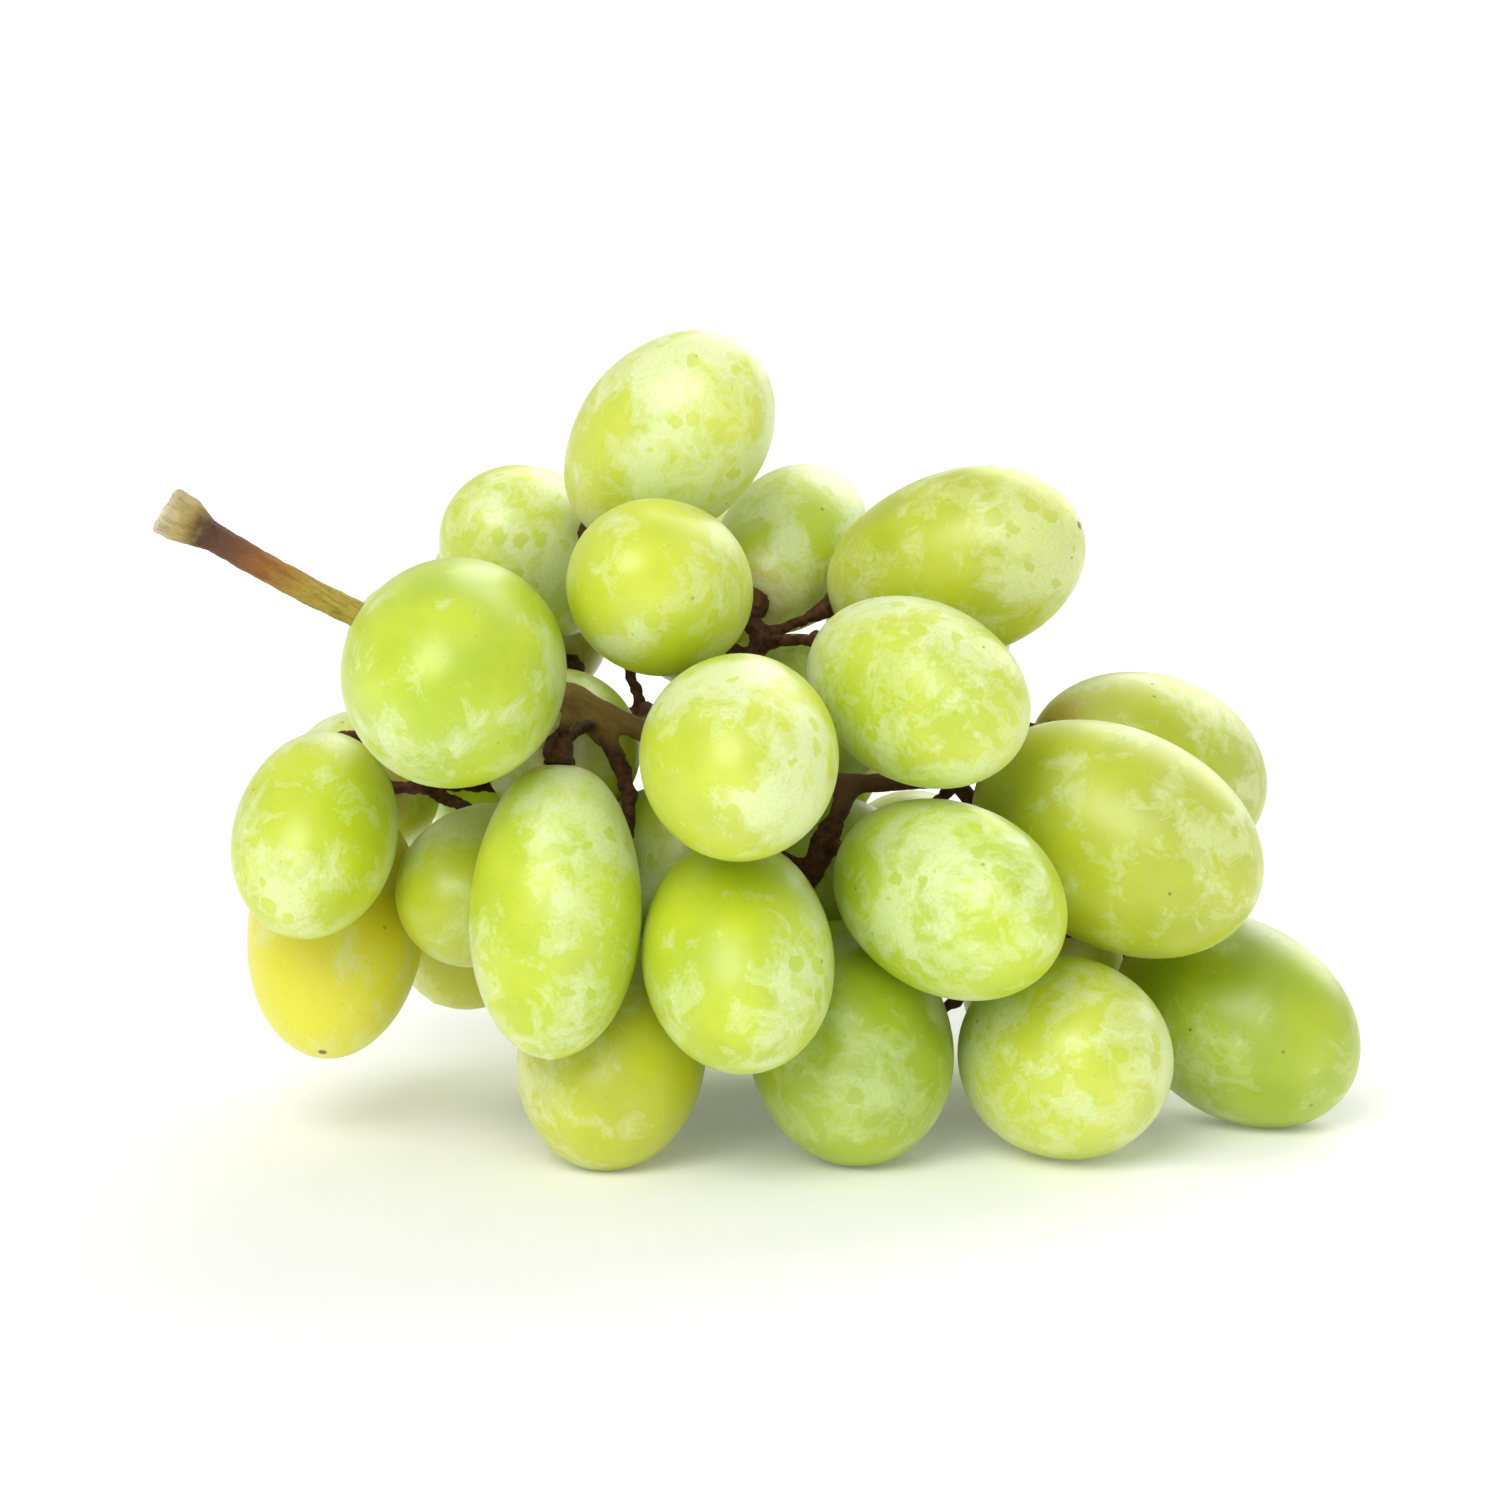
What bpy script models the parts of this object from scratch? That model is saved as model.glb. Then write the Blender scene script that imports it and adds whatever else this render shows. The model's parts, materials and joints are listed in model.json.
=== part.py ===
"""A bunch of white table grapes lying on its side: one woody stalk and its separate berries.

Tables are in millimetres and degrees. +X runs along the bunch away from the cut stem, +Y goes to the
back, +Z is up, and the lowest berries stand on z = 0.
"""

import math

import bmesh
import bpy
import numpy as np
from mathutils import Matrix, Vector

MM = 0.001

# Berries
RINGS = 10
SIDES = 12
EGG_TAPER = 0.04
STEM_DIMPLE = 0.5
FOOT_PRESS = 0.15
TOUCH_GAP = 0.4
BEADS = 9
SETTLE_ROUNDS = 500
SETTLE_PUSH = 0.35
HOME_PULL = 0.004
FLOOR_CLEARANCE = 1.0

# Stalk
STEP = 1.3
TUBE_SIDES = 8
STALK_GAP = 0.45
THREAD_ROUNDS = 160
THREAD_SMOOTH = 0.12
PEDICEL_RADIUS = 0.72
PEDICEL_GAP = 0.5
PEDICEL_LEAD = 2.6
CUP_RADIUS = 1.45
CUP_LENGTH = 1.5
CUT_END_RADIUS = 2.6
CUT_END_LENGTH = 4.0
KNOT_SWELL = 1.3
KNOT_LENGTH = 1.6
VOXEL = 0.42
KEPT_SHARE = 0.075

# Each berry: middle x, y, z; compass heading and pitch of its blossom end; length; width;
# the branch it hangs from; whether the table carries it; its ripeness tint.
BERRIES = [
    # round the cut stem
    (-28.5, -22.0, 49.0, -95, -5, 29.0, 21.0, "main", False, "green"),
    (-42.5, -15.0, 32.0, -100, -35, 23.5, 15.5, "wing", False, "green"),
    (-41.5, -3.0, 20.5, -95, -50, 28.0, 17.0, "wing", False, "golden"),
    (-26.5, -8.0, 26.0, -110, -5, 23.5, 15.0, "wing", False, "deep"),
    (-40.0, 20.0, 30.5, 100, -10, 23.5, 15.5, "wing", False, "pale"),
    (-27.5, 12.0, 20.0, -150, -60, 22.0, 16.5, "wing", False, "golden"),
    (-20.5, 5.5, 37.0, 90, -10, 21.5, 15.5, "main", False, "green"),
    (-32.0, 13.0, 43.5, 110, 20, 20.5, 15.5, "wing", False, "green"),
    # the front face
    (-19.0, -24.0, 26.5, -95, -70, 29.0, 16.0, "spur", False, "green"),
    (-1.5, -24.5, 22.0, -85, -30, 27.0, 18.0, "low", False, "green"),
    (-1.5, -28.5, 42.0, -90, -5, 27.0, 18.5, "main", False, "pale"),
    (-9.0, -15.0, 56.0, -110, 15, 25.0, 16.5, "crown", False, "green"),
    (15.5, -17.0, 46.5, -45, -15, 25.0, 17.0, "crown", False, "pale"),
    (18.5, -21.5, 27.0, -50, -10, 27.0, 18.0, "low", False, "green"),
    # the top
    (-8.5, -1.5, 68.5, -30, 45, 25.0, 17.5, "crest", False, "pale"),
    (-22.5, 11.0, 55.0, -120, 25, 24.0, 16.0, "back", False, "pale"),
    (3.5, 12.0, 55.5, 70, 20, 23.5, 14.5, "crown", False, "green"),
    (19.5, -1.5, 56.0, -20, 20, 27.0, 18.0, "crown", False, "golden"),
    # the far end
    (35.3, -8.5, 30.5, -30, -20, 31.0, 21.0, "tip", False, "golden"),
    (39.6, 13.0, 33.2, 30, -20, 27.0, 19.0, "tip", False, "golden"),
    # standing on the table in front
    (-14.0, -14.5, 10.5, -95, -35, 26.0, 18.0, "spur", True, "golden"),
    (9.0, -13.5, 10.5, -80, -35, 27.0, 19.5, "low", True, "deep"),
    (30.0, -13.5, 10.0, -70, 5, 27.0, 19.5, "tail", True, "green"),
    (48.0, 0.5, 11.0, -35, -25, 27.0, 19.0, "tail", True, "deep"),
    # inside the bunch
    (-8.5, 0.5, 25.5, 120, -20, 22.5, 16.0, "low", False, "deep"),
    (2.5, 8.0, 39.5, 15, 5, 24.0, 16.5, "back", False, "deep"),
    (4.5, 24.0, 32.0, 60, 40, 23.0, 16.5, "back", False, "green"),
    (7.5, 7.5, 24.5, 125, -5, 20.5, 15.0, "low", False, "deep"),
    # the back
    (-24.0, 28.0, 47.5, 120, 25, 24.0, 17.0, "back", False, "green"),
    (-5.0, 26.5, 49.5, 90, 25, 25.0, 18.0, "back", False, "golden"),
    (16.5, 21.5, 46.5, 110, 10, 25.0, 17.5, "tip", False, "green"),
    (-24.0, 28.0, 28.0, 115, -30, 25.0, 18.0, "back", False, "green"),
    (-4.5, 32.0, 18.5, 60, -35, 26.0, 18.0, "back", False, "green"),
    (16.5, 30.0, 17.5, 90, -40, 26.0, 18.5, "tip", False, "pale"),
    (35.0, 31.0, 22.0, 50, -45, 26.0, 18.5, "tip", False, "golden"),
    # standing on the table at the back
    (-12.0, 15.5, 11.5, 180, -55, 25.0, 18.0, "back", True, "deep"),
    (7.5, 16.5, 8.5, 135, 0, 25.0, 17.5, "tail", True, "deep"),
    (30.5, 16.5, 11.0, 80, -40, 26.0, 18.5, "tail", True, "green"),
]

# Each woody branch: points it grows through, radius where it starts, radius where it ends.
BRANCHES = {
    "main": (
        [(-57.3, -7.5, 62.7), (-53.0, -7.5, 60.0), (-48.0, -7.5, 57.1), (-39.0, -6.5, 52.0),
         (-29.0, -3.5, 47.5), (-18.0, -4.5, 43.5), (-11.0, -4.5, 40.0), (-1.5, -4.5, 36.5),
         (9.5, -1.5, 34.0), (19.5, -0.5, 35.0)],
        1.55, 1.0,
    ),
    "wing": (
        [(-29.0, -3.5, 47.5), (-31.5, -1.0, 43.0), (-34.0, 1.5, 38.0), (-33.0, 4.0, 33.0)],
        1.0, 0.8,
    ),
    "spur": (
        [(-18.0, -4.5, 43.5), (-14.0, -6.5, 39.5), (-10.5, -7.0, 36.0), (-11.5, -8.0, 31.0),
         (-13.5, -9.0, 26.0)],
        1.1, 0.8,
    ),
    "crown": (
        [(-1.5, -4.5, 36.5), (-2.0, -4.0, 42.0), (-1.5, -1.0, 47.0), (1.0, 0.5, 49.0)],
        1.0, 0.8,
    ),
    "crest": (
        [(-1.5, -1.0, 47.0), (-6.5, 3.5, 50.0), (-12.5, 4.0, 53.0)],
        0.9, 0.8,
    ),
    "back": (
        [(-11.0, -4.5, 40.0), (-11.0, 4.5, 39.0), (-11.0, 14.0, 38.5), (-10.0, 19.0, 33.5)],
        1.1, 0.8,
    ),
    "low": (
        [(9.5, -1.5, 34.0), (7.0, -5.5, 29.0), (4.0, -6.5, 24.5), (3.5, -4.5, 21.5)],
        1.1, 0.8,
    ),
    "tip": (
        [(19.5, -0.5, 35.0), (20.5, 7.0, 34.5), (21.5, 13.5, 33.0)],
        1.0, 0.8,
    ),
    "tail": (
        [(19.5, -0.5, 35.0), (24.5, 2.5, 29.0), (26.0, 2.0, 22.0), (25.0, 2.5, 15.5)],
        1.0, 0.8,
    ),
}

# Skins: base colour, roughness.
SKINS = {
    "green": ((0.52, 0.64, 0.12, 1.0), 0.32),
    "golden": ((0.66, 0.64, 0.11, 1.0), 0.32),
    "pale": ((0.66, 0.74, 0.30, 1.0), 0.36),
    "deep": ((0.38, 0.52, 0.06, 1.0), 0.30),
}
STALK_COLOUR = (0.16, 0.09, 0.035, 1.0)
STALK_ROUGHNESS = 0.72


def direction(heading, pitch):
    turn = math.radians(heading)
    tilt = math.radians(pitch)
    flat = math.cos(tilt)
    return np.array([flat * math.cos(turn), flat * math.sin(turn), math.sin(tilt)])


def lowest(middle, axis, half, radius):
    """Height of an ellipsoid's lowest point."""
    return middle[2] - math.sqrt(radius ** 2 + (half ** 2 - radius ** 2) * axis[2] ** 2)


def bead_chains(middles, axes, halves, radii):
    """A row of balls inside each berry whose outer surface is the berry's own."""
    focus = halves ** 2 - radii ** 2
    along = np.linspace(-1.0, 1.0, BEADS)[None, :] * (focus / halves)[:, None]
    centres = middles[:, None, :] + along[:, :, None] * axes[:, None, :]
    sizes = radii[:, None] * np.sqrt(1.0 - along ** 2 / focus[:, None])
    return centres, sizes


def settle(middles, axes, halves, radii, carried):
    """Push crowded berries apart until they only just clear each other, feet down on the table."""
    count = len(middles)
    home = middles.copy()
    middles = middles.copy()
    for _ in range(SETTLE_ROUNDS):
        centres, sizes = bead_chains(middles, axes, halves, radii)
        for i in range(count):
            for j in range(i + 1, count):
                if np.linalg.norm(middles[i] - middles[j]) > halves[i] + halves[j] + TOUCH_GAP:
                    continue
                apart = centres[i][:, None, :] - centres[j][None, :, :]
                distance = np.linalg.norm(apart, axis=2)
                crowding = sizes[i][:, None] + sizes[j][None, :] + TOUCH_GAP - distance
                worst = np.unravel_index(np.argmax(crowding), crowding.shape)
                if crowding[worst] > 0.0:
                    push = apart[worst] / distance[worst] * crowding[worst] * SETTLE_PUSH
                    middles[i] += push
                    middles[j] -= push
        middles += (home - middles) * HOME_PULL
        for i in range(count):
            height = lowest(middles[i], axes[i], halves[i], radii[i])
            if carried[i]:
                middles[i][2] -= height
            elif height < FLOOR_CLEARANCE:
                middles[i][2] += FLOOR_CLEARANCE - height
    return middles


def curve_through(points):
    """A smooth path through the points, cut into steps of one length."""
    points = np.array(points, float)
    ends = np.vstack([2 * points[0] - points[1], points, 2 * points[-1] - points[-2]])
    path = []
    for i in range(1, len(ends) - 2):
        before, start, end, after = ends[i - 1], ends[i], ends[i + 1], ends[i + 2]
        steps = max(2, round(np.linalg.norm(end - start) / STEP))
        for t in np.arange(steps) / steps:
            path.append(
                0.5 * (2 * start + (end - before) * t
                       + (2 * before - 5 * start + 4 * end - after) * t ** 2
                       + (3 * start - before - 3 * end + after) * t ** 3)
            )
    path.append(points[-1])
    return np.array(path)


def thread(path, clearances, beads, sizes, fixed_start, fixed_end):
    """Ease the loose points of a path out of the berries, keeping it smooth."""
    path = path.copy()
    loose = range(fixed_start, len(path) - fixed_end)
    for _ in range(THREAD_ROUNDS):
        for i in loose:
            away = path[i] - beads
            distance = np.linalg.norm(away, axis=1)
            inside = sizes + clearances[i] - distance
            worst = int(np.argmax(inside))
            if inside[worst] > 0.0:
                path[i] += away[worst] / distance[worst] * inside[worst]
            middle = 0.5 * (path[i - 1] + path[i + 1])
            path[i] += (middle - path[i]) * THREAD_SMOOTH
    return path


def sweep(mesh, path, radii):
    """One closed tube along a path."""
    side = Vector((0.0, 0.0, 1.0)).cross(Vector(path[1] - path[0]))
    rings = []
    for i, point in enumerate(path):
        ahead = Vector(path[min(i + 1, len(path) - 1)] - path[max(i - 1, 0)]).normalized()
        side = (side - ahead * side.dot(ahead)).normalized()
        up = ahead.cross(side)
        ring = []
        for k in range(TUBE_SIDES):
            turn = math.tau * k / TUBE_SIDES
            offset = (side * math.cos(turn) + up * math.sin(turn)) * radii[i]
            ring.append(mesh.verts.new((Vector(point) + offset) * MM))
        rings.append(ring)
    for ring, following in zip(rings, rings[1:]):
        for k in range(TUBE_SIDES):
            following_k = (k + 1) % TUBE_SIDES
            mesh.faces.new((ring[k], ring[following_k], following[following_k], following[k]))
    mesh.faces.new(list(reversed(rings[0])))
    mesh.faces.new(rings[-1])


def material(name, colour, roughness):
    made = bpy.data.materials.new(name)
    made.use_nodes = True
    shader = made.node_tree.nodes["Principled BSDF"]
    shader.inputs["Base Color"].default_value = colour
    shader.inputs["Roughness"].default_value = roughness
    shader.inputs["Metallic"].default_value = 0.0
    made.diffuse_color = colour
    return made


def finish(name, mesh, slot):
    """Make the named object from a finished mesh."""
    bmesh.ops.recalc_face_normals(mesh, faces=mesh.faces)
    for face in mesh.faces:
        face.smooth = True
    data = bpy.data.meshes.new(name)
    mesh.to_mesh(data)
    mesh.free()
    data.materials.append(slot)
    made = bpy.data.objects.new(name, data)
    bpy.context.scene.collection.objects.link(made)
    return made


def berry(name, middle, axis, length, width, carried, slot):
    """One grape: an egg turned about its long axis, dimpled where the stem meets it."""
    half = length / 2
    radius = width / 2
    mesh = bmesh.new()
    outline = [mesh.verts.new(((STEM_DIMPLE - half) * MM, 0.0, 0.0))]
    for i in range(1, RINGS):
        turn = math.pi * (1.0 - i / RINGS)
        across = radius * math.sin(turn) * (1.0 + EGG_TAPER * math.cos(turn))
        outline.append(mesh.verts.new((half * math.cos(turn) * MM, 0.0, across * MM)))
    outline.append(mesh.verts.new((half * MM, 0.0, 0.0)))
    edges = [mesh.edges.new(pair) for pair in zip(outline, outline[1:])]
    bmesh.ops.spin(
        mesh, geom=outline + edges, cent=(0.0, 0.0, 0.0), axis=(1.0, 0.0, 0.0),
        angle=math.tau, steps=SIDES, use_merge=True,
    )
    bmesh.ops.remove_doubles(mesh, verts=mesh.verts, dist=0.00001)
    bmesh.ops.recalc_face_normals(mesh, faces=mesh.faces)
    turned = Vector(axis).to_track_quat("X", "Z")
    place = Matrix.Translation(Vector(middle) * MM) @ turned.to_matrix().to_4x4()
    if carried:
        bottom = min((place @ vertex.co).z for vertex in mesh.verts)
        place = Matrix.Translation((0.0, 0.0, -bottom - FOOT_PRESS * MM)) @ place
        table = place.inverted()
        cut = bmesh.ops.bisect_plane(
            mesh, geom=list(mesh.verts) + list(mesh.edges) + list(mesh.faces), dist=0.000001,
            plane_co=table @ Vector((0.0, 0.0, 0.0)),
            plane_no=table.to_3x3() @ Vector((0.0, 0.0, 1.0)), clear_inner=True,
        )
        rim = [part for part in cut["geom_cut"] if isinstance(part, bmesh.types.BMEdge)]
        bmesh.ops.contextual_create(mesh, geom=rim)
    made = finish(name, mesh, slot)
    made.matrix_world = place
    return made


def knotted(count, start, end, knots):
    """Radii along a branch, swelling where something grows from it."""
    steps = np.arange(count)
    radii = np.linspace(start, end, count)
    for knot in knots:
        radii *= 1.0 + (KNOT_SWELL - 1.0) * np.exp(-((steps - knot) * STEP / KNOT_LENGTH) ** 2)
    return np.minimum(radii, start * KNOT_SWELL)


def nearest_step(path, point):
    return int(np.argmin(np.linalg.norm(path - np.array(point), axis=1)))


for leftover in list(bpy.data.objects):
    bpy.data.objects.remove(leftover, do_unlink=True)

# Berries settle against each other
middles = np.array([row[0:3] for row in BERRIES], float)
axes = np.array([direction(row[3], row[4]) for row in BERRIES])
halves = np.array([row[5] / 2 for row in BERRIES])
radii = np.array([row[6] / 2 for row in BERRIES])
carried = [row[8] for row in BERRIES]
middles = settle(middles, axes, halves, radii, carried)

# The whole bunch is brought over the origin
reach = np.sqrt(radii[:, None] ** 2 + (halves ** 2 - radii ** 2)[:, None] * axes ** 2)
front = (middles - reach)[:, 1].min()
rear = (middles + reach)[:, 1].max()
stem = np.array(BRANCHES["main"][0][:2])
lean = abs(stem[1] - stem[0])[2] / np.linalg.norm(stem[1] - stem[0])
left = stem[0][0] - CUT_END_RADIUS * lean
right = (middles + reach)[:, 0].max()
shift = np.array([-(left + right) / 2, -(front + rear) / 2, 0.0])
middles += shift

skins = {tint: material("grape_skin_" + tint, *look) for tint, look in SKINS.items()}
for i, row in enumerate(BERRIES):
    name = f"berry_{i + 1:02d}"
    berry(name, middles[i], axes[i], row[5], row[6], carried[i], skins[row[9]])

# Woody branches thread between the berries
beads, bead_sizes = bead_chains(middles, axes, halves, radii)
all_beads = beads.reshape(-1, 3)
all_sizes = bead_sizes.reshape(-1)
paths = {}
for name, (points, start, end) in BRANCHES.items():
    path = curve_through(np.array(points, float) + shift)
    if name != "main":
        parent_points = np.vstack(list(paths.values()))
        path[0] = parent_points[nearest_step(parent_points, path[0])]
    clearances = np.linspace(start, end, len(path)) * KNOT_SWELL + STALK_GAP
    paths[name] = thread(path, clearances, all_beads, all_sizes, 3 if name == "main" else 1, 1)

# A pedicel runs from its branch to the dimple of each berry and widens into a cup there
knots = {name: [] for name in BRANCHES}
pedicels = []
for i, row in enumerate(BERRIES):
    branch = paths[row[7]]
    tip = middles[i] - axes[i] * (halves[i] + PEDICEL_GAP)
    lead = tip - axes[i] * PEDICEL_LEAD
    step = nearest_step(branch, lead)
    knots[row[7]].append(step)
    path = curve_through([branch[step], lead, tip])
    clearances = np.full(len(path), PEDICEL_RADIUS + STALK_GAP)
    pedicels.append(thread(path, clearances, all_beads, all_sizes, 1, 1))

# The cut end of the stem keeps a little of the cane it grew from
stalk = bmesh.new()
for name, (points, start, end) in BRANCHES.items():
    thickness = knotted(len(paths[name]), start, end, knots[name])
    if name == "main":
        from_cut = np.linalg.norm(paths[name] - paths[name][0], axis=1)
        thickness += (CUT_END_RADIUS - start) * np.exp(-(from_cut / CUT_END_LENGTH) ** 4)
    sweep(stalk, paths[name], thickness)
for path in pedicels:
    from_tip = np.linalg.norm(path - path[-1], axis=1)
    cup = np.clip(1.0 - from_tip / CUP_LENGTH, 0.0, 1.0)
    sweep(stalk, path, PEDICEL_RADIUS + (CUP_RADIUS - PEDICEL_RADIUS) * cup)
wood = finish("stalk", stalk, material("stalk_wood", STALK_COLOUR, STALK_ROUGHNESS))
fuse = wood.modifiers.new("Fuse", "REMESH")
fuse.mode = "VOXEL"
fuse.voxel_size = VOXEL * MM
fuse.use_smooth_shade = True
thin = wood.modifiers.new("Thin", "DECIMATE")
thin.ratio = KEPT_SHARE
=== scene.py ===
import json
import math
import random

import bmesh
import bpy
import numpy as np
from mathutils import Matrix, Vector, noise


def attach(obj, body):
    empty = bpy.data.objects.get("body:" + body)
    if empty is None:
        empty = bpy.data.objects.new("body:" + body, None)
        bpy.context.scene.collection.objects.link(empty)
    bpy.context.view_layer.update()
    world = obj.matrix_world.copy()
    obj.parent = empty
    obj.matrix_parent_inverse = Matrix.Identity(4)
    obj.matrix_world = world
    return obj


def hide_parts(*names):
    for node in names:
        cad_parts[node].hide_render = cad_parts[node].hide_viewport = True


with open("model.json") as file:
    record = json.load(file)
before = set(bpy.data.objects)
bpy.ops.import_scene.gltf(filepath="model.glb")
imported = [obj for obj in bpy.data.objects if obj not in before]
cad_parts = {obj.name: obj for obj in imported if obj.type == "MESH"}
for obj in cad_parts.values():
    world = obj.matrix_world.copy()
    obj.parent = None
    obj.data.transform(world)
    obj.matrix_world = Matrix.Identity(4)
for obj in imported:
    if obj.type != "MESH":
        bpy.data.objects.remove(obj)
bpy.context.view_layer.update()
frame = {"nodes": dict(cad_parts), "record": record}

# ---------------------------------------------------------------------------------------------
# Studio: a sheet of white card under the fruit in a white room, one wide soft light in front, high
# and a little to the left, and another high behind. The camera is a long lens a little above.
# ---------------------------------------------------------------------------------------------
MM = 0.001
WHITE = (1.0, 1.0, 1.0, 1.0)
MIX_COLOUR_INPUTS = (0, 6, 7)
MIX_COLOUR_OUTPUT = 2
CARD_HALF_WIDTH = 2500 * MM
CARD_DROP = 0.02 * MM
CARD_GLOW = 0.12
CARD_SHADES = ("f4f4f2", "fafaf8")
CARD_FIBRES_PER_METRE = 900
AIM = Vector((-1.1, 5.4, 36.4)) * MM
CAMERA_DISTANCE = 600 * MM
CAMERA_ELEVATION = math.radians(10)
LENS_MM = 144
# The room looks whiter to the camera than it shines on the fruit.
ROOM_LIGHT = 0.56
ROOM_SEEN = 1.0
# Each light: the way to it, how many degrees of the room it fills, its strength.
SOFT_LIGHTS = {
    "key_light": ((-0.30, -0.78, 0.76), 38, 1.70),
    "back_light": ((0.5, 1.0, 0.7), 50, 1.30),
}
scene = bpy.context.scene


def hex_colour(code):
    """A six-digit hex colour, turned into the shader's linear values."""
    shades = [int(code[i:i + 2], 16) / 255 for i in (0, 2, 4)]
    linear = [s / 12.92 if s <= 0.04045 else ((s + 0.055) / 1.055) ** 2.4 for s in shades]
    return (*linear, 1.0)


def new_material(name):
    """A material with its node tree and its shader."""
    made = bpy.data.materials.new(name)
    made.use_nodes = True
    return made, made.node_tree, made.node_tree.nodes["Principled BSDF"]


def mixed(tree, share, first, second):
    """One colour laid over another; a colour is a hex code or the socket it comes from."""
    node = tree.nodes.new("ShaderNodeMix")
    node.data_type = "RGBA"
    factor, under, over = (node.inputs[i] for i in MIX_COLOUR_INPUTS)
    tree.links.new(share, factor)
    for socket, colour in ((under, first), (over, second)):
        if isinstance(colour, str):
            socket.default_value = hex_colour(colour)
        else:
            tree.links.new(colour, socket)
    return node.outputs[MIX_COLOUR_OUTPUT]


def ranged(tree, value, low, high, to_low=0.0, to_high=1.0):
    """A smooth step: what comes out as a socket's value goes from low to high."""
    node = tree.nodes.new("ShaderNodeMapRange")
    node.interpolation_type = "SMOOTHSTEP"
    tree.links.new(value, node.inputs["Value"])
    node.inputs["From Min"].default_value = low
    node.inputs["From Max"].default_value = high
    node.inputs["To Min"].default_value = to_low
    node.inputs["To Max"].default_value = to_high
    return node.outputs["Result"]


def grained(tree, place, per_metre, detail=3.0, roughness=0.5, warp=0.0):
    """Noise with so many lumps to the metre."""
    node = tree.nodes.new("ShaderNodeTexNoise")
    node.inputs["Scale"].default_value = per_metre
    node.inputs["Detail"].default_value = detail
    node.inputs["Roughness"].default_value = roughness
    node.inputs["Distortion"].default_value = warp
    tree.links.new(place, node.inputs["Vector"])
    return node.outputs["Fac"]


def object_place(tree):
    """Where on the piece the shader is, in metres from the frame's origin."""
    return tree.nodes.new("ShaderNodeTexCoord").outputs["Object"]


def finished(name, mesh, material):
    """The object for a finished mesh, in world place at the origin."""
    data = bpy.data.meshes.new(name)
    mesh.to_mesh(data)
    mesh.free()
    data.materials.append(material)
    data.polygons.foreach_set("use_smooth", [True] * len(data.polygons))
    made = bpy.data.objects.new(name, data)
    scene.collection.objects.link(made)
    return made


card_paper, card_tree, card_shader = new_material("white_card")
card_fibre = grained(card_tree, object_place(card_tree), CARD_FIBRES_PER_METRE, detail=4.0)
card_tint = mixed(card_tree, card_fibre, *CARD_SHADES)
card_tree.links.new(card_tint, card_shader.inputs["Base Color"])
card_shader.inputs["Roughness"].default_value = 0.7
card_shader.inputs["Specular IOR Level"].default_value = 0.2
card_shader.inputs["Emission Color"].default_value = WHITE
card_shader.inputs["Emission Strength"].default_value = CARD_GLOW
card_mesh = bmesh.new()
bmesh.ops.create_grid(card_mesh, x_segments=1, y_segments=1, size=CARD_HALF_WIDTH)
bmesh.ops.translate(card_mesh, verts=card_mesh.verts, vec=(0.0, 0.0, -CARD_DROP))
card = finished("white_card", card_mesh, card_paper)

world = bpy.data.worlds.new("white_room")
world.use_nodes = True
room = world.node_tree
backdrop = room.nodes["Background"]
seen = room.nodes.new("ShaderNodeLightPath").outputs["Is Camera Ray"]
backdrop.inputs["Color"].default_value = WHITE
room.links.new(ranged(room, seen, 0.0, 1.0, ROOM_LIGHT, ROOM_SEEN), backdrop.inputs["Strength"])
scene.world = world

for name, (towards, spread, strength) in SOFT_LIGHTS.items():
    lamp = bpy.data.lights.new(name, "SUN")
    lamp.angle = math.radians(spread)
    lamp.energy = strength
    soft_light = bpy.data.objects.new(name, lamp)
    soft_light.rotation_euler = Vector(towards).to_track_quat("Z", "Y").to_euler()
    scene.collection.objects.link(soft_light)

lens = bpy.data.cameras.new("camera")
lens.lens = LENS_MM
lens.clip_start = 10 * MM
camera = bpy.data.objects.new("camera", lens)
camera_way = Vector((0.0, -math.cos(CAMERA_ELEVATION), math.sin(CAMERA_ELEVATION)))
camera.location = AIM + camera_way * CAMERA_DISTANCE
camera.rotation_euler = (-camera_way).to_track_quat("-Z", "Y").to_euler()
scene.collection.objects.link(camera)
scene.camera = camera
scene.view_settings.view_transform = "Standard"

# ---------------------------------------------------------------------------------------------
# Stalk: the cut end of the cane, the peduncle, the rachis, its side branches and the pedicels,
# all one growth. Tan and green near the cut, dry dark brown inside the bunch; each pedicel
# widens into a warty cup that grips its berry.
# ---------------------------------------------------------------------------------------------
WELD = 0.001 * MM
CUP_SIDES = 16
CUP_LENGTH = 2.4 * MM
CUP_RIM = 1.75 * MM
CUP_NECK = 0.75 * MM
CUP_SINK = 0.35 * MM
# Along the cup, from the berry's end, and how thick it is there.
CUP_OUTLINE = [
    (-CUP_LENGTH, 0.0), (-CUP_LENGTH, CUP_NECK), (-CUP_LENGTH * 0.45, CUP_NECK * 1.15),
    (-CUP_LENGTH * 0.12, CUP_RIM * 0.9), (CUP_SINK * 0.6, CUP_RIM), (CUP_SINK, 0.0),
]
BARK_VOXEL = 0.26 * MM
BARK_LUMPS = 0.34 * MM
BARK_FURROWS = 0.22 * MM
LUMPS_PER_METRE = 800
FURROWS_PER_METRE = 1700
# In millimetres: the middle of the rachis from its cut end, as the CAD's main branch runs, how
# thick it is, and how far its torn end, its colours and the marks of growth and cups reach.
RACHIS_LINE = [
    (-57.9, -8.6, 62.7), (-48.6, -8.6, 57.1), (-39.6, -7.6, 52.0), (-29.6, -4.6, 47.5),
    (-18.6, -5.6, 43.5), (-11.6, -5.6, 40.0), (-2.1, -5.6, 36.5), (8.9, -2.6, 34.0),
    (18.9, -1.6, 35.0),
]
RACHIS_RADIUS = 2.2
TORN_LENGTH = 5.5
COLOURED_LENGTH = 90.0
SIDE_BLEND = 1.5
CUP_MARK_REACH = 4.0
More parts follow.
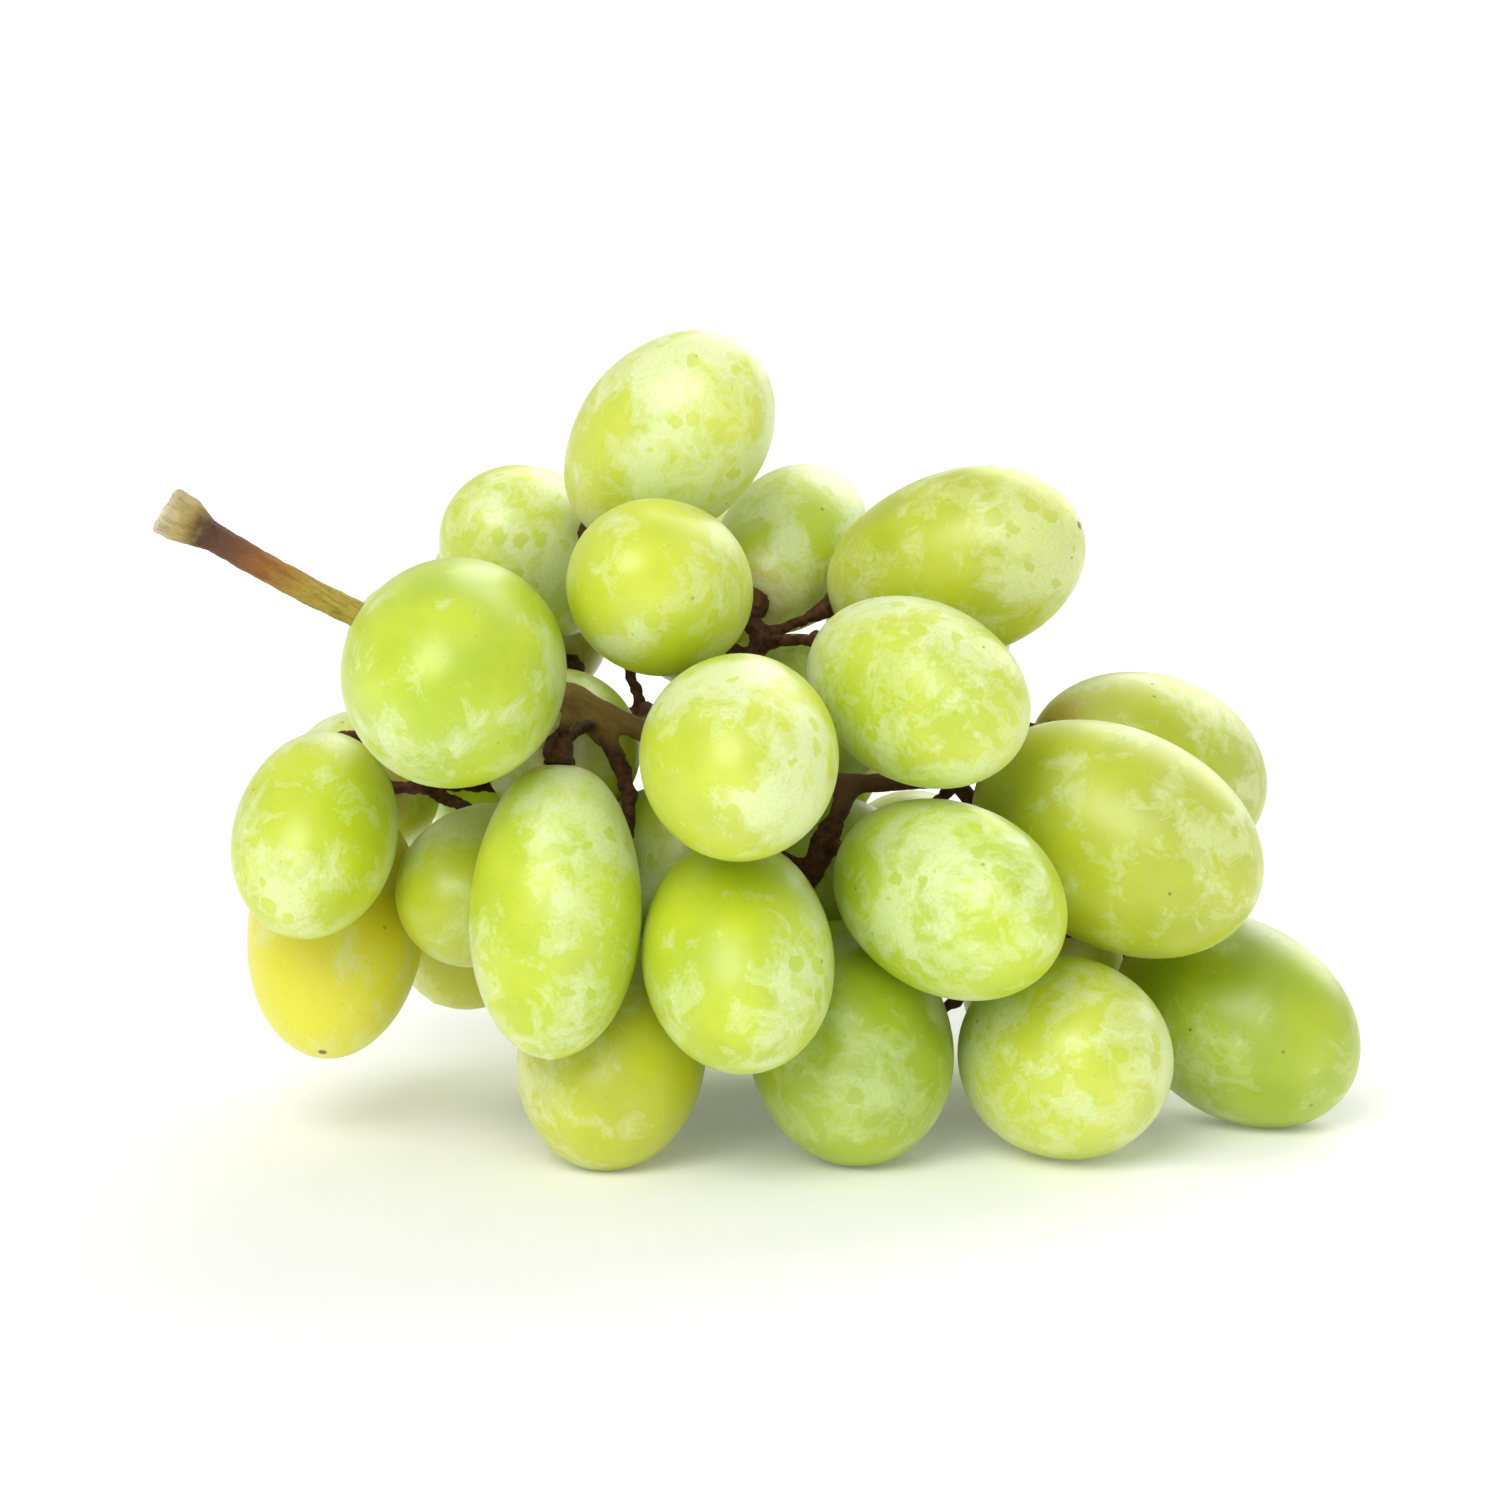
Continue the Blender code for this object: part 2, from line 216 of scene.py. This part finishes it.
# The bark is wrinkled all over, but fully only on side growth and the torn end.
CALM_SHARE = 0.32
# Bark colours along the rachis, from the cut end (0) to the end of the coloured length (1).
BARK_STOPS = [
    (0.000, "e6dcb8"), (0.022, "cdbb7c"), (0.040, "a89250"), (0.056, "54382e"),
    (0.085, "6e4a36"), (0.125, "a0662c"), (0.165, "b89a40"), (0.260, "bcae48"),
    (0.400, "a08840"), (0.560, "8e7238"), (0.680, "6c5028"), (1.000, "4a3018"),
]
COLOUR_WANDER = 0.06
WANDERS_PER_METRE = 260
# A step says between which values of its noise or mark a thing comes in, then, where that isn't
# from nothing to full, how strong it is at both.
DRY_SHADES = ("2a150a", "643819")
BLOTCHES_PER_METRE = 1400
BLOTCH_STEP = (0.35, 0.65)
FIBRE_BROWN = "6a4424"
FIBRE_STEP = (0.42, 0.66, 0.0, 0.38)
FIBRES_PER_METRE = 2600
FIBRE_STRETCH = 9.0
FIBRE_SLOPE = math.radians(28)
CUP_OLIVE = "8a7a3c"
CUP_STEP = (0.55, 0.95, 0.0, 0.5)
SPECK_BROWN = "2a170c"
SPECK_STEP = (0.6, 0.75)
SPECK_SHARE = 0.35
SPECKS_PER_METRE = 5200
GRAIN_PER_METRE = 3800
GRAIN_DEPTH = 0.2 * MM
BARK_ROUGHNESS = (0.3, 0.7, 0.55, 0.8)


def merged_copy(node):
    """A mesh like the CAD node's with its loose triangles joined."""
    copy = bmesh.new()
    copy.from_mesh(frame["nodes"][node].data)
    bmesh.ops.remove_doubles(copy, verts=copy.verts, dist=WELD)
    return copy


def berry_size(node, stalk_points):
    """A berry's stem end, the way it points, its length and its radius, from the CAD mesh.

    Its two ends are the points where the most edges meet; the stem end is the one by the stalk.
    """
    solid = merged_copy(node)
    poles = sorted(solid.verts, key=lambda vertex: -len(vertex.link_edges))[:2]
    ends = [np.array(pole.co) for pole in poles]
    ends.sort(key=lambda end: np.linalg.norm(stalk_points - end, axis=1).min())
    stem_end, blossom_end = ends
    length = np.linalg.norm(blossom_end - stem_end)
    way = (blossom_end - stem_end) / length
    points = np.array([vertex.co for vertex in solid.verts]) - stem_end
    across = points - np.outer(points @ way, way)
    radius = np.linalg.norm(across, axis=1).max()
    solid.free()
    return Vector(stem_end), Vector(way), length, radius


def turned_to(way, place):
    """The matrix that lays +X along a direction and the origin on a point."""
    return Matrix.Translation(place) @ way.to_track_quat("X", "Z").to_matrix().to_4x4()


def spin_round(mesh, outline, steps):
    """An outline, as distances along and out from the X axis, turned full round that axis."""
    points = [mesh.verts.new((along, 0.0, out)) for along, out in outline]
    ribs = [mesh.edges.new(pair) for pair in zip(points, points[1:])]
    bmesh.ops.spin(
        mesh, geom=points + ribs, cent=(0.0, 0.0, 0.0), axis=(1.0, 0.0, 0.0),
        angle=math.tau, steps=steps, use_merge=True,
    )


def line_distance(points, line):
    """How far each point is from a broken line, and how far along the line it is nearest."""
    nearest = np.full(len(points), 1e9)
    along = np.zeros(len(points))
    passed = 0.0
    for start, end in zip(line, line[1:]):
        step = end - start
        length = np.linalg.norm(step)
        share = np.clip((points - start) @ step / length ** 2, 0.0, 1.0)
        distance = np.linalg.norm(points - start - share[:, None] * step, axis=1)
        closer = distance < nearest
        along[closer] = passed + share[closer] * length
        nearest[closer] = distance[closer]
        passed += length
    return nearest, along


def set_marks(made, name, columns):
    """Up to four numbers for each point, kept as a colour attribute that the materials read."""
    marks = made.data.color_attributes.new(name, "FLOAT_COLOR", "POINT")
    values = np.zeros((len(made.data.vertices), 4), np.float32)
    for i, column in enumerate(columns):
        values[:, i] = column
    marks.data.foreach_set("color", values.ravel())


def marks_of(tree, name):
    """The four numbers of such an attribute as sockets."""
    marks = tree.nodes.new("ShaderNodeAttribute")
    marks.attribute_name = name
    parts = tree.nodes.new("ShaderNodeSeparateColor")
    tree.links.new(marks.outputs["Color"], parts.inputs["Color"])
    return parts.outputs[0], parts.outputs[1], parts.outputs[2], marks.outputs["Alpha"]


def reckon(tree, operation, *values):
    """A sum or product; each value is a number or the socket it comes from."""
    node = tree.nodes.new("ShaderNodeMath")
    node.operation = operation
    for socket, value in zip(node.inputs, values):
        if isinstance(value, bpy.types.NodeSocket):
            tree.links.new(value, socket)
        else:
            socket.default_value = value
    return node.outputs[0]


berry_nodes = sorted(node for node in frame["nodes"] if node.startswith("berry_"))
stalk_points = np.array([vertex.co for vertex in frame["nodes"]["stalk"].data.vertices])
berry_sizes = {node: berry_size(node, stalk_points) for node in berry_nodes}

# A cup for every berry is spun at the origin and carried to the end of its pedicel.
rough_stalk = merged_copy("stalk")
for stem_end, way, _, _ in berry_sizes.values():
    before = set(rough_stalk.verts)
    spin_round(rough_stalk, CUP_OUTLINE, CUP_SIDES)
    cup = [vertex for vertex in rough_stalk.verts if vertex not in before]
    bmesh.ops.remove_doubles(rough_stalk, verts=cup, dist=WELD)
    cup = [vertex for vertex in rough_stalk.verts if vertex not in before]
    bmesh.ops.transform(rough_stalk, matrix=turned_to(way, stem_end), verts=cup)
bmesh.ops.recalc_face_normals(rough_stalk, faces=rough_stalk.faces)

bark, bark_tree, bark_shader = new_material("dry_stalk")
stalk = finished("stalk_bark", rough_stalk, bark)
fuse = stalk.modifiers.new("Fuse", "REMESH")
fuse.mode = "VOXEL"
fuse.voxel_size = BARK_VOXEL
soften = stalk.modifiers.new("Soften", "SMOOTH")
soften.factor = 0.5
soften.iterations = 4
graph = bpy.context.evaluated_depsgraph_get()
fused = bpy.data.meshes.new_from_object(stalk.evaluated_get(graph))
stalk.modifiers.clear()
stalk.data = fused

# Lumps and furrows push every point of the bark out or in.
bark_points = np.empty((len(fused.vertices), 3), np.float32)
fused.vertices.foreach_get("co", bark_points.ravel())
bark_normals = np.empty_like(bark_points)
fused.vertex_normals.foreach_get("vector", bark_normals.ravel())
rachis_gap, rachis_run = line_distance(bark_points / MM, np.array(RACHIS_LINE))
side_growth = np.clip((rachis_gap - RACHIS_RADIUS) / SIDE_BLEND, 0.0, 1.0)
torn = np.clip(1.0 - rachis_run / TORN_LENGTH, 0.0, 1.0) * (rachis_gap < 2 * RACHIS_RADIUS)
warty = np.maximum(np.maximum(side_growth, torn), CALM_SHARE)
swell = [
    noise.noise(Vector(point) * LUMPS_PER_METRE) * BARK_LUMPS
    - abs(noise.noise(Vector(point) * FURROWS_PER_METRE)) * BARK_FURROWS
    for point in bark_points
]
bark_points += bark_normals * (np.array(swell) * warty).astype(np.float32)[:, None]
fused.vertices.foreach_set("co", bark_points.ravel())
fused.update()
fused.polygons.foreach_set("use_smooth", [True] * len(fused.polygons))

bark_points /= MM
stem_ends = np.array([stem_end for stem_end, _, _, _ in berry_sizes.values()]) / MM
cup_gap = np.min(
    [np.linalg.norm(bark_points - stem_end, axis=1) for stem_end in stem_ends], axis=0
)
near_cup = np.clip(1.0 - cup_gap / CUP_MARK_REACH, 0.0, 1.0)
set_marks(stalk, "growth", [rachis_run / COLOURED_LENGTH, side_growth, near_cup])

run, side, cup_mark, _ = marks_of(bark_tree, "growth")
bark_place = object_place(bark_tree)
ramp = bark_tree.nodes.new("ShaderNodeValToRGB")
while len(ramp.color_ramp.elements) < len(BARK_STOPS):
    ramp.color_ramp.elements.new(0.5)
for stop, (position, code) in zip(ramp.color_ramp.elements, BARK_STOPS):
    stop.position = position
    stop.color = hex_colour(code)
wander = grained(bark_tree, bark_place, WANDERS_PER_METRE)
steady_run = reckon(bark_tree, "SUBTRACT", run, COLOUR_WANDER / 2)
wandered = reckon(bark_tree, "MULTIPLY_ADD", wander, COLOUR_WANDER, steady_run)
bark_tree.links.new(wandered, ramp.inputs["Fac"])

# Brown fibres run along the rachis, drawn out by stretching the noise down its slope.
fibre_way = bark_tree.nodes.new("ShaderNodeMapping")
fibre_way.vector_type = "TEXTURE"
fibre_way.inputs["Rotation"].default_value = (0.0, FIBRE_SLOPE, 0.0)
fibre_way.inputs["Scale"].default_value = (FIBRE_STRETCH, 1.0, 1.0)
bark_tree.links.new(bark_place, fibre_way.inputs["Vector"])
fibre_place = fibre_way.outputs["Vector"]
fibre = grained(bark_tree, fibre_place, FIBRES_PER_METRE, detail=4.0, roughness=0.6)
fibre_share = ranged(bark_tree, fibre, *FIBRE_STEP)
rachis_colour = mixed(bark_tree, fibre_share, ramp.outputs["Color"], FIBRE_BROWN)

blotch = grained(bark_tree, bark_place, BLOTCHES_PER_METRE, detail=5.0, roughness=0.65)
dry_colour = mixed(bark_tree, ranged(bark_tree, blotch, *BLOTCH_STEP), *DRY_SHADES)
grown_colour = mixed(bark_tree, side, rachis_colour, dry_colour)
cup_share = ranged(bark_tree, cup_mark, *CUP_STEP)
cup_colour = mixed(bark_tree, cup_share, grown_colour, CUP_OLIVE)
speck = grained(bark_tree, bark_place, SPECKS_PER_METRE, detail=2.0)
speck_share = reckon(bark_tree, "MULTIPLY", ranged(bark_tree, speck, *SPECK_STEP), SPECK_SHARE)
bark_colour = mixed(bark_tree, speck_share, cup_colour, SPECK_BROWN)
bark_tree.links.new(bark_colour, bark_shader.inputs["Base Color"])
bark_roughness = ranged(bark_tree, blotch, *BARK_ROUGHNESS)
bark_tree.links.new(bark_roughness, bark_shader.inputs["Roughness"])
bark_shader.inputs["Specular IOR Level"].default_value = 0.35
bark_bump = bark_tree.nodes.new("ShaderNodeBump")
bark_bump.inputs["Distance"].default_value = GRAIN_DEPTH
bark_bump.inputs["Strength"].default_value = 0.7
bark_grain = grained(bark_tree, bark_place, GRAIN_PER_METRE, detail=6.0, roughness=0.7)
bark_tree.links.new(bark_grain, bark_bump.inputs["Height"])
bark_tree.links.new(bark_bump.outputs["Normal"], bark_shader.inputs["Normal"])
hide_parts("stalk")
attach(stalk, "root")

# ---------------------------------------------------------------------------------------------
# Berries: firm juicy flesh under a thin clear skin, dusted with wax that has rubbed off in
# patches and spots. Each hangs by its dimpled stem end and has a brown blossom scar at the other.
# ---------------------------------------------------------------------------------------------
RINGS = 44
SIDES = 60
EGG_TAPER = 0.04
CAD_DIMPLE = 0.5 * MM
DIMPLE_DEPTH = 0.9 * MM
DIMPLE_WIDTH = 2.6 * MM
PLUMP = 0.18 * MM
UNEVEN = 0.16 * MM
UNEVEN_PER_METRE = 95
SCAR_RADIUS = 0.55 * MM
SCAR_RISE = 0.16 * MM
SCARRED = {3, 18, 20, 27, 30, 35}
FAINT_SCAR = 0.45
# How yellow some berries have ripened, plus painted glow on berry 3; the others are drawn between
# the least and the most.
# Berry 3's value goes past ripeness: part of its yellow is painted glow, standing in for light
# shining through the berry.
RIPENESS_AND_PAINTED_GLOW = {
    3: 1.3, 4: 0.5, 6: 0.6, 12: 0.4, 15: 0.3, 18: 0.2, 19: 0.15, 20: 0.1, 21: 0.45, 22: 0.15,
    23: 0.4, 24: 0.2,
}
LEAST_RIPE = 0.0
MOST_RIPE = 0.3
# How much further than usual for its tint the wax of some berries spreads.
DUSTINESS = {
    1: -0.010, 2: 0.030, 9: 0.012, 13: 0.045, 14: 0.020, 17: 0.030, 18: 0.045, 19: -0.004,
    20: -0.020, 24: -0.015,
}

BROAD_WAX_PER_METRE = 75
RAGGED_WAX_PER_METRE = 260
RAGGED_SHARE = 0.58
THIN_WAX = (0.490, 0.525, 0.0, 0.38)
THICK_WAX = (0.540, 0.575, 0.0, 0.46)
WAX_VEIL = (0.35, 0.65, 0.0, 0.22)
PITS_PER_METRE = 2600
WORN_WAX = (0.30, 0.58, 0.55, 1.0)
CLEAR_SPOTS_PER_METRE = 520
CLEAR_SPOT_REACH = (0.60, 1.0, 0.0, 0.46)
CLEAR_SPOT_EDGE = (0.0, 0.07, 0.12, 1.0)
RAGGED_EDGE_PER_METRE = 900
RAGGED_EDGE = 1.2 * MM
PORES_PER_METRE = 330
PORE_EDGE = (0.05, 0.085, 1.0, 0.0)
PORE_SHARE = (0.72, 0.95, 0.0, 0.75)


def spots_on(tree, place, per_metre):
    """Scattered spots: how far the nearest one's middle is, and a number drawn for that spot."""
    spots = tree.nodes.new("ShaderNodeTexVoronoi")
    spots.inputs["Scale"].default_value = per_metre
    tree.links.new(place, spots.inputs["Vector"])
    drawn = tree.nodes.new("ShaderNodeSeparateColor")
    tree.links.new(spots.outputs["Color"], drawn.inputs["Color"])
    return spots.outputs["Distance"], drawn.outputs[0]


def wax_group():
    """Wax on the skin, and how thickly: torn patches, a thin even veil and rubbed clear spots."""
    group = bpy.data.node_groups.new("wax_bloom", "ShaderNodeTree")
    group.interface.new_socket("Place", in_out="INPUT", socket_type="NodeSocketVector")
    group.interface.new_socket("Cover", in_out="INPUT", socket_type="NodeSocketFloat")
    group.interface.new_socket("Wax", in_out="OUTPUT", socket_type="NodeSocketFloat")
    group.interface.new_socket("Specks", in_out="OUTPUT", socket_type="NodeSocketFloat")
    inlet = group.nodes.new("NodeGroupInput")
    outlet = group.nodes.new("NodeGroupOutput")
    place = inlet.outputs["Place"]
    cover = inlet.outputs["Cover"]

    # patches, thin at their edges and thicker inside, finely pitted where the wax has worn
    broad = grained(group, place, BROAD_WAX_PER_METRE, detail=2.0, warp=0.4)
    ragged = grained(group, place, RAGGED_WAX_PER_METRE, detail=9.0, roughness=0.7, warp=0.5)
    ragged_part = reckon(group, "MULTIPLY", ragged, RAGGED_SHARE)
    laid = reckon(group, "MULTIPLY_ADD", broad, 1.0 - RAGGED_SHARE, ragged_part)
    spread = reckon(group, "ADD", laid, cover)
    thin = ranged(group, spread, *THIN_WAX)
    thick = ranged(group, spread, *THICK_WAX)
    pits = grained(group, place, PITS_PER_METRE, detail=4.0, roughness=0.65)
    worn = ranged(group, pits, *WORN_WAX)
    patches = reckon(group, "MULTIPLY", reckon(group, "ADD", thin, thick), worn)

    # ragged spots rubbed clear of wax
    wobble = group.nodes.new("ShaderNodeTexNoise")
    wobble.inputs["Scale"].default_value = RAGGED_EDGE_PER_METRE
    group.links.new(place, wobble.inputs["Vector"])
    wobbled = group.nodes.new("ShaderNodeVectorMath")
    wobbled.operation = "MULTIPLY_ADD"
    wobbled.inputs[1].default_value = (RAGGED_EDGE, RAGGED_EDGE, RAGGED_EDGE)
    group.links.new(wobble.outputs["Color"], wobbled.inputs[0])
    group.links.new(place, wobbled.inputs[2])
    away, drawn = spots_on(group, wobbled.outputs["Vector"], CLEAR_SPOTS_PER_METRE)
    reach = ranged(group, drawn, *CLEAR_SPOT_REACH)
    clear = ranged(group, reckon(group, "SUBTRACT", away, reach), *CLEAR_SPOT_EDGE)

    veil = ranged(group, reckon(group, "ADD", broad, cover), *WAX_VEIL)
    wax = reckon(group, "MULTIPLY_ADD", patches, clear, veil)
    group.links.new(wax, outlet.inputs["Wax"])

    # pores with a brown speck in some
    away, drawn = spots_on(group, place, PORES_PER_METRE)
    pore = ranged(group, away, *PORE_EDGE)
    specks = reckon(group, "MULTIPLY", pore, ranged(group, drawn, *PORE_SHARE))
    group.links.new(specks, outlet.inputs["Specks"])
    return group


# Each tint: its darker and lighter flesh, its wax, how far the wax spreads and how white it is.
SKIN_LOOKS = {
    "green": ("afc812", "c6d92e", "e2efc6", 0.004, 0.64),
    "golden": ("a6b60a", "bac81e", "e2eec4", -0.008, 0.46),
    "pale": ("b8cc28", "cedc4a", "e6f2d0", 0.022, 0.62),
    "deep": ("8fac0a", "a6be1a", "d4e6b0", -0.004, 0.42),
}
CLOUDS_PER_METRE = 110
CLOUD_STEP = (0.3, 0.7)
RIPE_AND_GLOW_YELLOW = "ece43a"
RIPE_AND_GLOW_SHARE = 0.60
SHOULDER_CREAM = "dfe08a"
SHOULDER_FADE = (0.0, 0.30, 0.40, 0.0)
RIM_TAN = "b8903c"
RIM_FADE = (0.03, 0.10, 0.55, 0.0)
SPECK_TAN = "6e5a24"
FLECK_OLIVE = "8a7c30"
FLECKS_PER_METRE = 3600
FLECK_STEP = (0.70, 0.78, 0.0, 0.30)
SCAR_BROWN = "6a4a20"
SCAR_RAGGED = 0.1
SCAR_STEP = (0.45, 0.7)
SATIN_TO_WAXY = (0.0, 0.9, 0.34, 0.62)
WAX_SHEEN = (0.0, 0.7, 0.45, 1.0)
SKIN_GRAIN_PER_METRE = 1500
SKIN_GRAIN_DEPTH = 0.03 * MM
# Red and green light travel far through the flesh, blue hardly at all.
FLESH_GLOW = (1.0, 0.85, 0.12)
FLESH_GLOW_REACH = 10.0 * MM
FLESH_IOR = 1.42
WAX_IOR = 1.8
WAX = wax_group()


def grape_skin(tint, look):
    """Skin over glowing flesh, paler towards the stem, under patchy wax."""
    flesh_dark, flesh_light, wax_colour, cover, whiteness = look
    made, tree, shader = new_material("grape_skin_" + tint)
    place = object_place(tree)
    along, scar, ripeness_and_glow, dustiness = marks_of(tree, "fruit")
    wax = tree.nodes.new("ShaderNodeGroup")
    wax.node_tree = WAX
    tree.links.new(place, wax.inputs["Place"])
    tree.links.new(reckon(tree, "ADD", dustiness, cover), wax.inputs["Cover"])
    waxed = wax.outputs["Wax"]

    # flesh seen through the skin, then what lies on it, from the inside out
    cloud = grained(tree, place, CLOUDS_PER_METRE, roughness=0.55)
    flesh = mixed(tree, ranged(tree, cloud, *CLOUD_STEP), flesh_dark, flesh_light)
    # ripeness yellow; on berry 3 part of it is painted glow, standing in for light shining through
    # the berry
    ripe_and_glow = mixed(tree, reckon(tree, "MULTIPLY", ripeness_and_glow, RIPE_AND_GLOW_SHARE), flesh, RIPE_AND_GLOW_YELLOW)
    shoulder = mixed(tree, ranged(tree, along, *SHOULDER_FADE), ripe_and_glow, SHOULDER_CREAM)
    rim = mixed(tree, ranged(tree, along, *RIM_FADE), shoulder, RIM_TAN)
    dusted = mixed(tree, reckon(tree, "MULTIPLY", waxed, whiteness), rim, wax_colour)
    specked = mixed(tree, wax.outputs["Specks"], dusted, SPECK_TAN)
    fleck = grained(tree, place, FLECKS_PER_METRE, detail=1.0)
    flecked = mixed(tree, ranged(tree, fleck, *FLECK_STEP), specked, FLECK_OLIVE)
    ragged_scar = reckon(tree, "MULTIPLY_ADD", cloud, SCAR_RAGGED, scar)
    marked = mixed(tree, ranged(tree, ragged_scar, *SCAR_STEP), flecked, SCAR_BROWN)
    tree.links.new(marked, shader.inputs["Base Color"])

    tree.links.new(ranged(tree, waxed, *SATIN_TO_WAXY), shader.inputs["Roughness"])
    tree.links.new(ranged(tree, waxed, *WAX_SHEEN), shader.inputs["Coat Weight"])
    shader.inputs["Coat Roughness"].default_value = 0.45
    shader.inputs["Coat IOR"].default_value = WAX_IOR
    shader.inputs["IOR"].default_value = FLESH_IOR
    shader.inputs["Subsurface Weight"].default_value = 1.0
    shader.inputs["Subsurface Radius"].default_value = FLESH_GLOW
    shader.inputs["Subsurface Scale"].default_value = FLESH_GLOW_REACH
    bump = tree.nodes.new("ShaderNodeBump")
    bump.inputs["Distance"].default_value = SKIN_GRAIN_DEPTH
    bump.inputs["Strength"].default_value = 0.35
    skin_grain = grained(tree, place, SKIN_GRAIN_PER_METRE, detail=4.0, roughness=0.6)
    tree.links.new(reckon(tree, "ADD", skin_grain, waxed), bump.inputs["Height"])
    tree.links.new(bump.outputs["Normal"], shader.inputs["Normal"])
    return made


skins = {tint: grape_skin(tint, look) for tint, look in SKIN_LOOKS.items()}
slots = {part["node"]: part["material_slot"] for part in frame["record"]["subparts"]}


def berry_outline(half, radius):
    """From stem end to blossom end, as distances along and out from the berry's axis."""
    outline = []
    for i in range(RINGS + 1):
        turn = math.pi * (1.0 - i / RINGS)
        out = (radius + PLUMP) * math.sin(turn) * (1.0 + EGG_TAPER * math.cos(turn))
        along = half * math.cos(turn)
        if along < 0.0:
            along += DIMPLE_DEPTH * math.exp(-((out / DIMPLE_WIDTH) ** 2))
        elif out < SCAR_RADIUS * 2:
            along += SCAR_RISE * math.exp(-((out / SCAR_RADIUS) ** 4))
        outline.append((along, max(out, 0.0)))
    return outline


def grape(number, node):
    """One berry: an egg spun about its long axis, dimpled, scarred and a little uneven."""
    stem_end, way, run, radius = berry_sizes[node]
    half = (run + CAD_DIMPLE) / 2
    mesh = bmesh.new()
    spin_round(mesh, berry_outline(half, radius), SIDES)
    bmesh.ops.remove_doubles(mesh, verts=mesh.verts, dist=WELD)
    bmesh.ops.recalc_face_normals(mesh, faces=mesh.faces)
    even = np.array([vertex.co for vertex in mesh.verts])
    middle = stem_end + way * (half - CAD_DIMPLE)
    bmesh.ops.transform(mesh, matrix=turned_to(way, middle), verts=mesh.verts)
    own_noise = Vector((number, 0, 0))
    for vertex in mesh.verts:
        outward = (vertex.co - middle).normalized()
        swell = noise.noise(vertex.co * UNEVEN_PER_METRE + own_noise)
        vertex.co += outward * swell * UNEVEN
        vertex.co.z = max(vertex.co.z, 0.0)
    slot = slots[node]
    made = finished(f"grape_{number:02d}", mesh, skins[slot.removeprefix("grape_skin_")])

    along = even[:, 0] / (2 * half) + 0.5
    out = np.linalg.norm(even[:, 1:], axis=1)
    scar = np.where(even[:, 0] > 0.0, np.exp(-((out / SCAR_RADIUS) ** 2)), 0.0)
    scar *= 1.0 if number in SCARRED else FAINT_SCAR
    drawn = random.Random(number).uniform(LEAST_RIPE, MOST_RIPE)
    ripeness_and_glow = RIPENESS_AND_PAINTED_GLOW.get(number, drawn)
    set_marks(made, "fruit", [along, scar, ripeness_and_glow, DUSTINESS.get(number, 0.0)])
    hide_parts(node)
    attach(made, "root")


for number, node in enumerate(berry_nodes, 1):
    grape(number, node)
